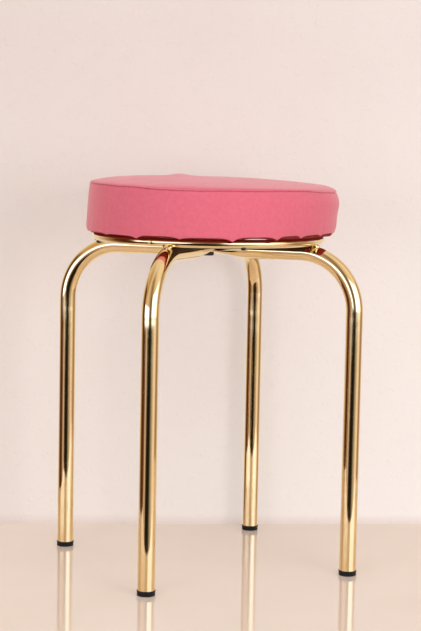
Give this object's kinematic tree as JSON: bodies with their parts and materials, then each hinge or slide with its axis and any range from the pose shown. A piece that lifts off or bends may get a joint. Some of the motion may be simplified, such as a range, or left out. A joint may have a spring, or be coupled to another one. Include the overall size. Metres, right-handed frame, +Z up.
{
  "type": "metal stool",
  "caption": "Round backless stool: bent tube legs that cross under the seat, a rod ring on their bends and a crowned, felt-covered pad.",
  "frame": {"origin": "on the floor, under the middle of the seat", "axes": "+Z up; the lower leg frame runs along X and the upper one along Y; the -Y leg is called the front one"},
  "size_m": [0.3916, 0.3916, 0.4748],
  "materials": {
    "gold_steel": "polished",
    "dark_steel": "satin",
    "zinc_steel": "satin",
    "black_cap": "satin",
    "plywood": "matte",
    "foam": "matte",
    "pink_felt": "matte",
    "sewing_thread": "matte"
  },
  "bodies": {
    "root": {"lower_leg_frame": "gold_steel", "upper_leg_frame": "gold_steel", "crossing_bolt": "dark_steel", "crossing_washer": "zinc_steel", "crossing_nut": "zinc_steel", "seat_ring": "gold_steel", "ring_butt_weld": "gold_steel", "ring_weld_front": "gold_steel", "ring_weld_right": "gold_steel", "ring_weld_back": "gold_steel", "ring_weld_left": "gold_steel", "foot_cap_front": "black_cap", "foot_cap_right": "black_cap", "foot_cap_back": "black_cap", "foot_cap_left": "black_cap", "seat_board": "plywood", "foam_pad": "foam", "cover_top_panel": "pink_felt", "cover_side_band": "pink_felt", "seam_thread": "sewing_thread", "seat_screw_front_right": "dark_steel", "seat_screw_back_right": "dark_steel", "seat_screw_back_left": "dark_steel", "seat_screw_front_left": "dark_steel", "hem_staples": "zinc_steel"}
  },
  "joints": []
}
